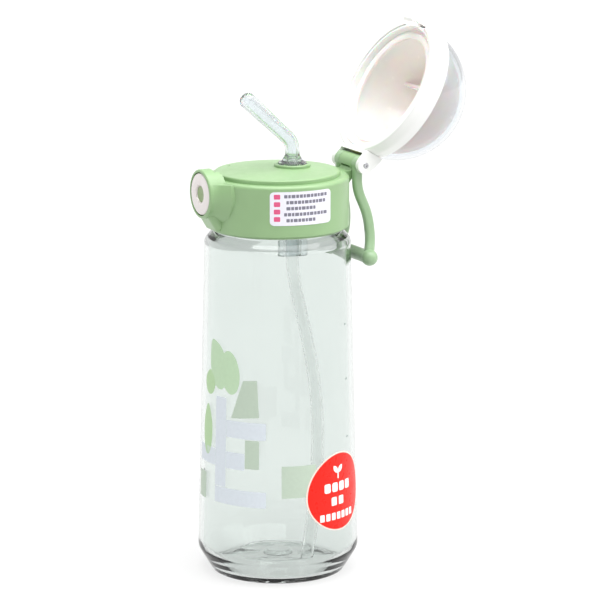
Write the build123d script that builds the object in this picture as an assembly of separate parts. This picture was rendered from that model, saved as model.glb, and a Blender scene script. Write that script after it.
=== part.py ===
from build123d import *
import os
from math import asin, cos, pi, radians, sin, sqrt, tan

# A child's straw bottle: a clear tapered bottle, a screw lid with a push button, a sprung
# clear dome, a folding silicone mouthpiece on a straw, and a carry handle on the dome's pin.
# Millimetres. +Z is up, the origin is the centre of the base, the button faces -Y and the
# hinge is at +Y. The dome is drawn closed and then turned open about its pin.

# ---------------------------------------------------------------- driving dimensions
# clear bottle
BODY_MAX_R = 37.5
FOOT_SET_IN = 6.5
FOOT_WIDTH = 4.0
BODY_MAX_Z = 10.8
BODY_TOP_Z = 157.0
SHOULDER_WIDTH = 5.95
SHOULDER_RISE = 4.6
BODY_WALL = 2.2
FLOOR_RISE = 4.2
FLOOR_WALL = 2.4
GATE_NUB_R = 5.2
GATE_NUB_H = 1.6
NECK_R = 27.85
NECK_WALL = 2.25
NECK_HEIGHT = 16.0
PITCH = 4.0
THREAD_TURNS = 1.25
THREAD_DEPTH = 1.45
THREAD_ROOT_WIDTH = 1.9
THREAD_CREST_WIDTH = 0.9
THREAD_RISE = 4.9
THREAD_GAP = 0.40

# lid collar
COLLAR_WALL = 1.8
COLLAR_LIFT = 1.4
LATCH_ROOM = 3.3
COLLAR_EDGE_FILLET = 1.6
TOP_PLATE = 1.8
DISC_SET_IN = 4.2
DISC_EDGE_RISE = 2.0
DISC_CROWN = 1.4
DISC_SKIN = 1.6
INSERT_GAP = 0.10
INSERT_WALL = 1.4
INSERT_LIFT = 0.4
INSERT_PLATE = 1.6
SEAL_THICKNESS = 2.0
SEAL_PLAY = 0.10

# mouthpiece and straw
SPOUT_Y = 7.7
SEAT_RING_R = 8.4
SEAT_RING_WIDTH = 1.6
SEAT_RING_RISE = 1.3
SPOUT_FLANGE_R = 6.5
SPOUT_NECK_R = 4.4
SPOUT_STUB_R = 3.3
SPOUT_TIP_R = 3.75
SPOUT_BORE_R = 2.0
KNEE_RISE = 14.5
KNEE_RADIUS = 9.0
SPOUT_LEAN = 47.7
SPOUT_LENGTH = 34.0
CONNECTOR_R = 6.75
CONNECTOR_LENGTH = 30.8
STRAW_R = 2.9
STRAW_BORE_R = 2.2
STRAW_SOCKET_DEPTH = 9.0
STRAW_FLOOR_GAP = 8.0
STRAW_WALL_GAP = 2.7
VENT_AT = (-18.4, -15.9)
VALVE_AT = (-9.6, -8.4)
VENT_R = 0.8

# push button and latch
BOSS_R = 11.3
BOSS_DROP = 5.9
BOSS_REACH = 6.5
BOSS_FLARE = 4.2
BOSS_WALL = 1.3
POCKET_FLOOR = 0.4
BUTTON_GAP = 0.4
BUTTON_THICKNESS = 1.7
BUTTON_DIMPLE_R = 3.7
BUTTON_TRAVEL = 2.5
SLIDE_WIDTH = 12.4
SLIDE_THICKNESS = 1.7
SLIDE_RISE = 2.0
HOOK_WIDTH = 8.0
HOOK_THICKNESS = 1.4
HOOK_STEP = 0.4
HOOK_BARB = 1.1
HOOK_BARB_H = 1.3
HOOK_GAP = 0.30

# dome and hinge
PIN_RISE = 3.0
HINGE_GAP = 0.8
PIN_R = 1.35
PIN_RUNNING = 0.06
PIN_PRESS = 0.01
KNUCKLE_R = 4.0
BARREL_HALF = 6.1
EYE_WIDTH = 3.9
SIDE_PLAY = 0.25
KNUCKLE_WIDTH = 2.8
SPRING_WIRE_R = 0.32
SPRING_PLAY = 0.475
DOME_OPEN = 120.0
DOME_SEAT_GAP = 0.30
RIM_STEP = 1.2
RIM_BULGE = 1.0
RIM_HEIGHT = 9.7
SHELL_SET_IN = 1.45
SHELL_WALL = 1.8
SHELL_CENTRE_RISE = 6.7
LINER_SET_IN = 3.15
LINER_WALL = 1.5
LIP_WIDTH = 4.7
FIT_GAP = 0.10

# carry handle
HANDLE_ARM_WIDTH = 3.9
HANDLE_ARM_DEPTH = 4.5
HANDLE_ARM_CORNER = 1.5
HANDLE_BALL_R = 3.8
HANDLE_BAR_R = 3.1
HANDLE_BALL_X = 16.8
HANDLE_BALL_SET = 0.2
HANDLE_DROP = 42.6

# labels
LABEL_THICKNESS = 0.20
LABEL_LIFT = 0.03

# ---------------------------------------------------------------- derived places
FOOT_OUTER_R = BODY_MAX_R - FOOT_SET_IN
FOOT_INNER_R = FOOT_OUTER_R - FOOT_WIDTH
BODY_TOP_R = NECK_R + SHOULDER_WIDTH
NECK_FOOT_Z = BODY_TOP_Z + SHOULDER_RISE
MOUTH_Z = NECK_FOOT_Z + NECK_HEIGHT
THREAD_START_Z = NECK_FOOT_Z + THREAD_RISE
INSERT_BORE_R = NECK_R + THREAD_DEPTH + THREAD_GAP
INSERT_R = INSERT_BORE_R + INSERT_WALL
INSERT_BOTTOM_Z = NECK_FOOT_Z + INSERT_LIFT
SEAL_BOTTOM_Z = MOUTH_Z + SEAL_PLAY
SEAL_TOP_Z = SEAL_BOTTOM_Z + SEAL_THICKNESS
INSERT_PLATE_Z = SEAL_TOP_Z + SEAL_PLAY
INSERT_TOP_Z = INSERT_PLATE_Z + INSERT_PLATE
COLLAR_INNER_R = INSERT_R + INSERT_GAP
COLLAR_R = COLLAR_INNER_R + COLLAR_WALL
COLLAR_BOTTOM_Z = NECK_FOOT_Z + COLLAR_LIFT
COLLAR_TOP_Z = INSERT_TOP_Z + LATCH_ROOM + TOP_PLATE
DISC_R = COLLAR_R - DISC_SET_IN
PLATE_UNDER_Z = COLLAR_TOP_Z - TOP_PLATE
DISC_EDGE_Z = COLLAR_TOP_Z + DISC_EDGE_RISE
DISC_TOP_Z = DISC_EDGE_Z + DISC_CROWN
DISC_SPHERE_R = (DISC_R ** 2 + DISC_CROWN ** 2) / (2 * DISC_CROWN)
SEAT_TOP_Z = (DISC_TOP_Z - DISC_SPHERE_R + sqrt(DISC_SPHERE_R ** 2 - SPOUT_Y ** 2)) + SEAT_RING_RISE
KNEE_Z = COLLAR_TOP_Z + KNEE_RISE
CONNECTOR_BOTTOM_Z = INSERT_PLATE_Z - CONNECTOR_LENGTH
BOSS_Z = COLLAR_TOP_Z - BOSS_DROP
BOSS_FRONT_Y = -(COLLAR_R + BOSS_REACH)
BOSS_REAR_Y = -COLLAR_INNER_R
POCKET_R = BOSS_R - BOSS_WALL
POCKET_FLOOR_Y = -(COLLAR_R + POCKET_FLOOR)
BUTTON_R = POCKET_R - BUTTON_GAP
SLIDE_Z = INSERT_TOP_Z + SLIDE_RISE
RIM_R = COLLAR_R + RIM_STEP
SHELL_R = RIM_R - SHELL_SET_IN
LINER_R = SHELL_R - LINER_SET_IN
LIP_R = LINER_R - LIP_WIDTH
PIN_Y = RIM_R + KNUCKLE_R + HINGE_GAP
PIN_Z = COLLAR_TOP_Z + PIN_RISE
PIN_AXIS = Axis((0, PIN_Y, PIN_Z), (1, 0, 0))
HANDLE_BALL_Y = PIN_Y + HANDLE_BALL_SET
RIM_Z = COLLAR_TOP_Z + DOME_SEAT_GAP
RIM_TOP_Z = RIM_Z + RIM_HEIGHT
DOME_CENTRE_Z = RIM_Z + SHELL_CENTRE_RISE
EYE_INNER_X = BARREL_HALF + SIDE_PLAY
EYE_OUTER_X = EYE_INNER_X + EYE_WIDTH
KNUCKLE_INNER_X = EYE_OUTER_X + SIDE_PLAY
KNUCKLE_OUTER_X = KNUCKLE_INNER_X + KNUCKLE_WIDTH
HOOK_OUTER_Y = -(COLLAR_R + HOOK_STEP)
HOOK_INNER_Y = HOOK_OUTER_Y + HOOK_THICKNESS
HOOK_BOTTOM_Z = SLIDE_Z - HOOK_GAP - HOOK_BARB_H
SPRING_R = PIN_R + PIN_RUNNING + SPRING_WIRE_R + SPRING_PLAY
BARREL_CAVITY_R = SPRING_R + SPRING_WIRE_R + SPRING_PLAY


# ---------------------------------------------------------------- helpers
def rounded(points, close=True):
    """Edges through (r, z) or (r, z, corner radius) points, with tangent arcs at the corners."""
    corners = [(Vector(p[0], 0, p[1]), p[2] if len(p) > 2 else 0) for p in points]
    count = len(corners)
    ends = []
    for i, (here, radius) in enumerate(corners):
        before = (corners[i - 1][0] - here).normalized()
        after = (corners[(i + 1) % count][0] - here).normalized()
        if radius == 0:
            ends.append((here, None, here))
            continue
        half = radians(before.get_angle(after)) / 2
        reach = radius / tan(half)
        inward = (before + after).normalized()
        middle = here + inward * (radius / sin(half) - radius)
        ends.append((here + before * reach, middle, here + after * reach))
    edges = []
    for i in range(count):
        start, middle, finish = ends[i]
        if middle is not None:
            edges.append(ThreePointArc(start, middle, finish))
        following = ends[(i + 1) % count][0]
        if (close or i < count - 1) and (following - finish).length > 1e-6:
            edges.append(Line(finish, following))
    return edges


def arc_from(radius, centre_z, start, finish):
    """Arc about (0, centre_z) in the XZ plane, between two angles from +X."""
    places = [(radius * cos(a), 0, centre_z + radius * sin(a)) for a in (start, (start + finish) / 2, finish)]
    return ThreePointArc(*places)


def turned(points):
    """Solid of revolution about Z from an outline of (radius, height, corner radius) points."""
    return revolve(make_face(Wire(rounded(points))), Axis.Z)


def prism(points, x_from, x_to):
    """A (y, z, corner radius) outline, extruded along X."""
    face = make_face(Wire(rounded(points)))
    solid = extrude(face, amount=x_to - x_from, dir=(0, 1, 0))
    return Pos(x_from, 0, 0) * (Rot(0, 0, 90) * (mirror(solid, about=Plane.XZ)))


def box(x_from, x_to, y_from, y_to, z_from, z_to):
    size = (x_to - x_from, y_to - y_from, z_to - z_from)
    centre = ((x_from + x_to) / 2, (y_from + y_to) / 2, (z_from + z_to) / 2)
    return Pos(*centre) * Box(*size)


def rod_x(radius, x_from, x_to, y, z):
    return Pos((x_from + x_to) / 2, y, z) * Rot(0, 90, 0) * Cylinder(radius, x_to - x_from)


def facing_front(shape):
    """Lays a piece that was turned about Z along the button's axis, its +Z towards -Y."""
    return Pos(0, 0, BOSS_Z) * Rot(90, 0, 0) * shape


def opened(shape):
    """Turns a piece of the closed dome to the open position."""
    return shape.rotate(PIN_AXIS, -DOME_OPEN)


def thread_ridge(root_r, crest_r, start_z, turns, sink=0.3):
    """One helical ridge of trapezoid section; it points outwards when crest_r > root_r."""
    height = PITCH * turns
    path = Helix(pitch=PITCH, height=height, radius=root_r)
    side = 1 if crest_r > root_r else -1
    depth = abs(crest_r - root_r)
    slope = (THREAD_ROOT_WIDTH - THREAD_CREST_WIDTH) / 2 / depth
    root_half = THREAD_ROOT_WIDTH / 2 + slope * sink
    crest_half = THREAD_CREST_WIDTH / 2
    corners = [(-side * sink, -root_half), (side * depth, -crest_half),
               (side * depth, crest_half), (-side * sink, root_half)]
    plane = Plane(origin=path @ 0, x_dir=(1, 0, 0), z_dir=path % 0)
    section = plane * make_face(Polyline(*[Vector(a, b) for a, b in corners], close=True))
    return Pos(0, 0, start_z) * sweep(section, path=path, is_frenet=True)


def coil(radius, wire_r, length, turns):
    """A helical spring along +Z from its own origin."""
    path = Helix(pitch=length / turns, height=length, radius=radius)
    return sweep(Plane(origin=path @ 0, z_dir=path % 0) * Circle(wire_r), path=path, is_frenet=True)


def outer_r_at(z):
    """Outer radius of the straight, tapering wall of the clear bottle."""
    share = (z - BODY_MAX_Z) / (BODY_TOP_Z - BODY_MAX_Z)
    return BODY_MAX_R + share * (BODY_TOP_R - BODY_MAX_R)


# ---------------------------------------------------------------- clear bottle
def make_bottle_body():
    inner_max = BODY_MAX_R - BODY_WALL
    inner_top = BODY_TOP_R - BODY_WALL
    floor_z = FLOOR_RISE + FLOOR_WALL
    mouth_r = NECK_R - NECK_WALL
    outline = [
        (0, FLOOR_RISE), (FOOT_INNER_R * 0.7, FLOOR_RISE, 8), (FOOT_INNER_R, 0, 0.8),
        (FOOT_OUTER_R, 0, 1.2), (BODY_MAX_R, BODY_MAX_Z, 7),
        (BODY_TOP_R, BODY_TOP_Z, 3.5), (BODY_TOP_R - 4.2, NECK_FOOT_Z, 1.2),
        (NECK_R, NECK_FOOT_Z, 0.8), (NECK_R, MOUTH_Z, 0.7),
        (mouth_r, MOUTH_Z, 0.7), (mouth_r, NECK_FOOT_Z - 1.6, 2.0),
        (inner_top, BODY_TOP_Z - 1.2, 3.0), (inner_max, BODY_MAX_Z + 1.0, 7),
        (FOOT_OUTER_R - 2.6, FLOOR_WALL, 2.0), (FOOT_INNER_R * 0.72, floor_z, 8),
        (GATE_NUB_R + 1.6, floor_z, 1.0), (GATE_NUB_R, floor_z + GATE_NUB_H, 1.2),
        (0, floor_z + GATE_NUB_H),
    ]
    body = turned(outline)
    ridge = thread_ridge(NECK_R, NECK_R + THREAD_DEPTH, THREAD_START_Z, THREAD_TURNS)
    return body + ridge


def make_bottle_label():
    """Egg-shaped sticker, narrower at its top, wrapped on the tapering wall."""
    azimuth, centre_z, half_width, half_height = 114.0, 42.5, 18.5, 18.5
    low, high = centre_z - half_height - 2, centre_z + half_height + 2
    near, far = LABEL_LIFT, LABEL_LIFT + LABEL_THICKNESS
    skin = turned([(outer_r_at(low) + near, low), (outer_r_at(low) + far, low),
                   (outer_r_at(high) + far, high), (outer_r_at(high) + near, high)])
    lower = half_height * 0.92
    upper = 2 * half_height - lower
    egg = Ellipse(half_width, lower) & (Pos(0, -half_height) * Rectangle(60, 2 * half_height))
    egg += Ellipse(half_width, upper) & (Pos(0, half_height) * Rectangle(60, 2 * half_height))
    face = Pos(0, lower - half_height) * egg
    outward = (sin(radians(azimuth)), -cos(radians(azimuth)), 0)
    plane = Plane(origin=(0, 0, centre_z), x_dir=(cos(radians(azimuth)), sin(radians(azimuth)), 0),
                  z_dir=outward)
    return skin & extrude(plane * face, amount=BODY_MAX_R + 5)


# ---------------------------------------------------------------- seal and screw insert
def make_neck_seal():
    inner, outer = NECK_R - NECK_WALL + 0.2, INSERT_BORE_R - 0.6
    return turned([(inner, SEAL_BOTTOM_Z, 0.4), (outer, SEAL_BOTTOM_Z, 0.4),
                   (outer, SEAL_TOP_Z, 0.4), (inner, SEAL_TOP_Z, 0.4)])


def make_lid_insert():
    plug_r = NECK_R - NECK_WALL - 0.35
    plug_bottom = MOUTH_Z - 2.6
    outline = [
        (INSERT_BORE_R, INSERT_BOTTOM_Z), (INSERT_R, INSERT_BOTTOM_Z, 0.4),
        (INSERT_R, INSERT_TOP_Z, 0.5), (0, INSERT_TOP_Z), (0, INSERT_PLATE_Z),
        (plug_r - 1.6, INSERT_PLATE_Z), (plug_r - 1.6, plug_bottom, 0.5),
        (plug_r, plug_bottom, 0.5), (plug_r, INSERT_PLATE_Z), (INSERT_BORE_R, INSERT_PLATE_Z),
    ]
    insert = turned(outline)
    crest = NECK_R + THREAD_GAP
    insert += thread_ridge(INSERT_BORE_R, crest, THREAD_START_Z - PITCH / 2, THREAD_TURNS)
    insert -= Pos(0, SPOUT_Y, INSERT_PLATE_Z) * Cylinder(SPOUT_NECK_R + 0.2, 10)
    insert -= Pos(*VALVE_AT, INSERT_PLATE_Z) * Cylinder(2 * VENT_R + 0.15, 10)
    return insert


def make_vent_valve():
    """Small silicone air valve through the insert's plate; air reaches it under the collar's disc."""
    stem_r, head_r, beak_r = 2 * VENT_R, 2 * VENT_R + 1.0, 2 * VENT_R + 0.6
    top, under = INSERT_TOP_Z + 0.05, INSERT_PLATE_Z - 0.05
    valve = turned([(0.5, top + 0.9), (head_r, top + 0.9, 0.3), (head_r, top), (stem_r, top),
                    (stem_r, under), (beak_r, under), (beak_r, under - 0.8), (0.9, under - 3.0),
                    (0.5, under - 3.0)])
    return Pos(*VALVE_AT, 0) * valve


# ---------------------------------------------------------------- lid collar
def make_boss():
    """Button housing that stands out of the collar, with its flare and lower fairing."""
    front, rear = -BOSS_FRONT_Y, -BOSS_REAR_Y
    barrel = facing_front(turned([(0, rear - 3), (BOSS_R, rear - 3), (BOSS_R, front, 0.9), (0, front)]))
    flare = facing_front(turned([(0, rear - 3), (BOSS_R + BOSS_FLARE, rear - 3),
                                 (BOSS_R + BOSS_FLARE, rear - 0.4), (BOSS_R + 0.05, rear + 5.0, 7),
                                 (BOSS_R - 0.1, front - 1.0), (0, front - 1.0)]))
    half = BOSS_R + BOSS_FLARE + 1
    flare &= box(-half, half, BOSS_FRONT_Y - 5, BOSS_REAR_Y + 6, COLLAR_BOTTOM_Z + 1, COLLAR_TOP_Z - 0.4)
    fairing = prism([(BOSS_REAR_Y + 1.5, COLLAR_BOTTOM_Z + 0.4, 0), (-COLLAR_R - 0.6, COLLAR_BOTTOM_Z + 0.4, 1.2),
                     (BOSS_FRONT_Y + 1.6, BOSS_Z - BOSS_R + 1.2, 2.0), (BOSS_FRONT_Y + 1.6, BOSS_Z, 0),
                     (BOSS_REAR_Y + 1.5, BOSS_Z, 0)], -7.5, 7.5)
    fairing = fillet(fairing.edges().filter_by(lambda e: abs(e.center().X) > 7.4
                                               and e.center().Z < BOSS_Z - 4
                                               and e.center().Y < -COLLAR_R), 3.0)
    boss = barrel + flare + fairing
    keep = Pos(0, 0, BOSS_Z) * Cylinder(60, 80) - Pos(0, 0, BOSS_Z) * Cylinder(COLLAR_R - 0.9, 80)
    boss &= keep
    return boss - box(-half, half, BOSS_REAR_Y, 0, COLLAR_TOP_Z - 0.5, BOSS_Z + BOSS_R + 1)


def make_hinge_bracket():
    """Arm from the collar's back wall to the hinge barrel."""
    arm = prism([(COLLAR_R - 0.9, COLLAR_TOP_Z - 8.5, 0), (PIN_Y - 1.0, PIN_Z - KNUCKLE_R, 2.5),
                 (PIN_Y + 1.5, PIN_Z - 2.0, 0), (PIN_Y - 2.0, PIN_Z + 2.5, 0), (PIN_Y - 3.1, PIN_Z - 1.3, 0),
                 (RIM_R + 1.0, COLLAR_TOP_Z - 0.3, 0), (COLLAR_R - 0.9, COLLAR_TOP_Z - 0.3, 0)],
                -BARREL_HALF + 0.4, BARREL_HALF - 0.4)
    return arm + rod_x(KNUCKLE_R, -BARREL_HALF, BARREL_HALF, PIN_Y, PIN_Z)


def make_lid_collar():
    wall = turned([(COLLAR_INNER_R, COLLAR_BOTTOM_Z), (COLLAR_R, COLLAR_BOTTOM_Z, 0.5),
                   (COLLAR_R, COLLAR_TOP_Z, COLLAR_EDGE_FILLET), (0, COLLAR_TOP_Z),
                   (0, PLATE_UNDER_Z), (COLLAR_INNER_R, PLATE_UNDER_Z)])
    low, half_r = COLLAR_TOP_Z - 1, DISC_R / 2
    crown_z = DISC_TOP_Z - DISC_SPHERE_R + sqrt(DISC_SPHERE_R ** 2 - half_r ** 2)
    disc = revolve(make_face(Wire([
        Line((0, 0, low), (DISC_R, 0, low)), Line((DISC_R, 0, low), (DISC_R, 0, DISC_EDGE_Z)),
        ThreePointArc((DISC_R, 0, DISC_EDGE_Z), (half_r, 0, crown_z), (0, 0, DISC_TOP_Z)),
        Line((0, 0, DISC_TOP_Z), (0, 0, low))])), Axis.Z)
    rim_edge = disc.edges().filter_by(lambda e: abs(e.center(CenterOf.BOUNDING_BOX).Z - DISC_EDGE_Z) < 0.01)
    disc = fillet(rim_edge, 0.7)
    collar = wall + disc
    hollow = Pos(0, 0, PLATE_UNDER_Z - 1) * Cylinder(DISC_R - 2, DISC_EDGE_Z - DISC_SKIN - PLATE_UNDER_Z + 1,
                                                     align=(Align.CENTER, Align.CENTER, Align.MIN))
    collar -= hollow
    ring = turned([(SEAT_RING_R - SEAT_RING_WIDTH, DISC_EDGE_Z - 0.6), (SEAT_RING_R, DISC_EDGE_Z - 0.6),
                   (SEAT_RING_R, SEAT_TOP_Z, 0.6), (SEAT_RING_R - SEAT_RING_WIDTH, SEAT_TOP_Z, 0.3)])
    collar += Pos(0, SPOUT_Y, 0) * ring
    collar += make_boss()
    collar += make_hinge_bracket()
    collar -= Pos(0, SPOUT_Y, DISC_TOP_Z) * Cylinder(SPOUT_NECK_R + 0.2, 20)
    collar -= Pos(*VENT_AT, DISC_TOP_Z) * Cylinder(VENT_R, 20)
    pocket = facing_front(Pos(0, 0, -POCKET_FLOOR_Y) * Cylinder(
        POCKET_R, 20, align=(Align.CENTER, Align.CENTER, Align.MIN)))
    collar -= pocket
    slide_half = SLIDE_WIDTH / 2 + 0.3
    slide_end = HOOK_INNER_Y + 1.9 + BUTTON_TRAVEL + 0.4
    collar -= box(-slide_half, slide_half, POCKET_FLOOR_Y - 1, slide_end,
                  SLIDE_Z - 0.3, SLIDE_Z + SLIDE_THICKNESS + 0.3)
    hook_half = HOOK_WIDTH / 2 + 0.5
    collar -= box(-hook_half, hook_half, HOOK_OUTER_Y - 0.8, HOOK_INNER_Y + HOOK_BARB + 0.4,
                  INSERT_TOP_Z + 0.05, BOSS_Z + BOSS_R + 1)
    collar += facing_front(Pos(0, 0, -POCKET_FLOOR_Y - 0.2) * Cylinder(
        1.3, 1.6, align=(Align.CENTER, Align.CENTER, Align.MIN)))
    collar -= rod_x(PIN_R + PIN_RUNNING, -20, 20, PIN_Y, PIN_Z)
    collar -= rod_x(BARREL_CAVITY_R, -BARREL_HALF + 1.4, 20, PIN_Y, PIN_Z)
    leg_slot = Pos(0, PIN_Y, PIN_Z) * Rot(22, 0, 0) * box(-BARREL_HALF + 1.8, BARREL_HALF - 1.9, -6, 0, -0.5, 0.5)
    return collar - leg_slot


def make_collar_label():
    azimuth, half_arc = 83.5, 26.3
    low, high = COLLAR_BOTTOM_Z + 5.8, COLLAR_TOP_Z - 2.3
    half_width = COLLAR_R * sin(radians(half_arc))
    near, far = COLLAR_R + LABEL_LIFT, COLLAR_R + LABEL_LIFT + LABEL_THICKNESS
    skin = turned([(near, low - 1), (far, low - 1), (far, high + 0.5), (near, high + 0.5)])
    outward = (sin(radians(azimuth)), -cos(radians(azimuth)), 0)
    plane = Plane(origin=(0, 0, (low + high) / 2), z_dir=outward,
                  x_dir=(cos(radians(azimuth)), sin(radians(azimuth)), 0))
    face = RectangleRounded(2 * half_width, high - low, 1.8)
    return skin & extrude(plane * face, amount=COLLAR_R + 5)


# ---------------------------------------------------------------- straw and mouthpiece
def make_straw_connector():
    spigot_top = INSERT_PLATE_Z + 4
    tube_top = INSERT_PLATE_Z - 2.0
    socket_top = CONNECTOR_BOTTOM_Z + STRAW_SOCKET_DEPTH
    outline = [
        (STRAW_R + 0.08, CONNECTOR_BOTTOM_Z), (CONNECTOR_R, CONNECTOR_BOTTOM_Z, 0.8),
        (CONNECTOR_R, tube_top, 0.6), (2.9, tube_top), (2.9, spigot_top, 0.3), (1.9, spigot_top),
        (1.9, socket_top), (STRAW_R + 0.08, socket_top),
    ]
    return Pos(0, SPOUT_Y, 0) * turned(outline)


def make_straw_tube():
    """Bowed drinking straw, from the connector's socket to the far corner of the floor."""
    top = CONNECTOR_BOTTOM_Z + STRAW_SOCKET_DEPTH - 0.1
    reach = FOOT_OUTER_R - STRAW_WALL_GAP - STRAW_R
    drop = CONNECTOR_BOTTOM_Z - STRAW_FLOOR_GAP
    bow = [(0.181, 10.9, 0.780), (0.417, 13.0, 0.624), (0.622, 12.8, 0.461), (0.811, 9.8, 0.291),
           (0.945, 5.4, 0.128), (1, 1.6, 0)]
    route = [(0, SPOUT_Y, top), (0, SPOUT_Y, CONNECTOR_BOTTOM_Z - 9.5)]
    route += [(reach * out, y, STRAW_FLOOR_GAP + drop * up) for out, y, up in bow]
    radii = []
    for a, b, c in zip(route[:-2], route[1:-1], route[2:]):
        first, second = Vector(b) - Vector(a), Vector(c) - Vector(b)
        turn = radians(first.get_angle(second))
        radii.append(0.45 * min(first.length, second.length) / tan(turn / 2))
    path = FilletPolyline(*route, radius=radii)
    start = Plane(origin=path @ 0, z_dir=path % 0)
    tube = sweep(start * Circle(STRAW_R), path=path) - sweep(start * Circle(STRAW_BORE_R), path=path)
    end = Vector(*route[-1])
    tip_cut = Plane(origin=end + Vector(0, 0, 1.5), z_dir=Vector(0.75, -0.2, -1).normalized())
    return split(tube, bisect_by=tip_cut, keep=Keep.BOTTOM)


def make_mouthpiece_foot():
    """Flange, neck through the lid, retaining bead and the upright stub below the knee."""
    bead_top = INSERT_PLATE_Z - 0.05
    flange_z = SEAT_TOP_Z - 0.6
    stub_top = KNEE_Z - KNEE_RADIUS * tan(radians(SPOUT_LEAN) / 2)
    outline = [
        (2.95, bead_top - 1.5), (5.6, bead_top - 1.5, 0.5), (5.6, bead_top), (SPOUT_NECK_R, bead_top),
        (SPOUT_NECK_R, flange_z), (SPOUT_FLANGE_R, flange_z), (SPOUT_FLANGE_R, flange_z + 1.3, 0.5),
        (SPOUT_FLANGE_R - 1.6, flange_z + 1.9, 0.8), (SPOUT_STUB_R, flange_z + 4.6, 2.0),
        (SPOUT_STUB_R, stub_top, 0.5), (SPOUT_BORE_R, stub_top), (SPOUT_BORE_R, INSERT_PLATE_Z + 4.4),
        (2.95, INSERT_PLATE_Z + 4.1),
    ]
    return Pos(0, SPOUT_Y, 0) * turned(outline)


def spout_frame():
    """Where the knee starts, where it ends, and the leaning direction of the upper part."""
    reach = KNEE_RADIUS * tan(radians(SPOUT_LEAN) / 2)
    lean = Vector(0, -sin(radians(SPOUT_LEAN)), cos(radians(SPOUT_LEAN)))
    knee = Vector(0, SPOUT_Y, KNEE_Z)
    return knee - Vector(0, 0, reach), knee + lean * reach, knee, lean


def make_mouthpiece_knee():
    start, finish, knee, lean = spout_frame()
    axis = Axis((0, SPOUT_Y - KNEE_RADIUS, start.Z), (1, 0, 0))
    ring = Pos(0, SPOUT_Y, start.Z) * (Circle(SPOUT_STUB_R) - Circle(SPOUT_BORE_R))
    return revolve(ring, axis, revolution_arc=SPOUT_LEAN)


def make_mouthpiece_tip():
    start, finish, knee, lean = spout_frame()
    length = SPOUT_LENGTH - (finish - knee).length
    outline = [
        (SPOUT_BORE_R, 0), (SPOUT_STUB_R, 0), (SPOUT_TIP_R, length - 6, 0), (SPOUT_TIP_R, length, 2.9),
        (0.5, length), (0.5, length - 1.0), (SPOUT_BORE_R, length - 3.0),
    ]
    plane = Plane(origin=finish, x_dir=(1, 0, 0), z_dir=lean)
    return plane.location * turned(outline)


# ---------------------------------------------------------------- button and latch
def make_button_cap():
    front, back = -BOSS_FRONT_Y + 0.1, -BOSS_FRONT_Y + 0.1 - BUTTON_THICKNESS
    skirt = back - 1.2
    outline = [
        (0, back), (BUTTON_R - 1.3, back), (BUTTON_R - 1.3, skirt), (BUTTON_R, skirt),
        (BUTTON_R, front - 0.2, 0.7), (BUTTON_R * 0.62, front + 0.2, 6), (BUTTON_DIMPLE_R + 0.5, front, 0.5),
        (BUTTON_DIMPLE_R, front - 1.2), (0, front - 1.2),
    ]
    return facing_front(turned(outline))


def make_button_insert():
    seat = -BOSS_FRONT_Y + 0.1 - 1.2 + 0.02
    outline = [(0, seat), (BUTTON_DIMPLE_R - 0.1, seat), (BUTTON_DIMPLE_R - 0.1, seat + 0.5, 0.15),
               (0, seat + 0.2)]
    return facing_front(turned(outline))


def make_latch_slide():
    """Window plate behind the button: its inner bar lies over the barb of the dome's hook."""
    half = SLIDE_WIDTH / 2
    rear = HOOK_INNER_Y + 1.9
    back = BOSS_FRONT_Y - 0.1 + BUTTON_THICKNESS + 0.02
    plate = box(-half, half, back, rear, SLIDE_Z, SLIDE_Z + SLIDE_THICKNESS)
    window = box(-HOOK_WIDTH / 2 - 0.6, HOOK_WIDTH / 2 + 0.6, back + 1.6, HOOK_INNER_Y + 0.4,
                 SLIDE_Z - 1, SLIDE_Z + 3)
    pad = box(-half, half, back, back + 1.4, SLIDE_Z, SLIDE_Z + SLIDE_THICKNESS + 1.0)
    return plate - window + pad


def make_button_spring():
    near = -POCKET_FLOOR_Y + 0.35
    far = -BOSS_FRONT_Y + 0.1 - BUTTON_THICKNESS - 0.35
    return facing_front(Pos(0, 0, near) * coil(2.1, 0.28, far - near, 3.0))


# ---------------------------------------------------------------- dome, drawn closed
def boss_arch():
    """Room that the rim and the liner leave for the button housing."""
    rear = -BOSS_REAR_Y - 0.8
    return facing_front(Pos(0, 0, rear) * Cylinder(BOSS_R + 0.6, 20, align=(Align.CENTER, Align.CENTER, Align.MIN)))


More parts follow.
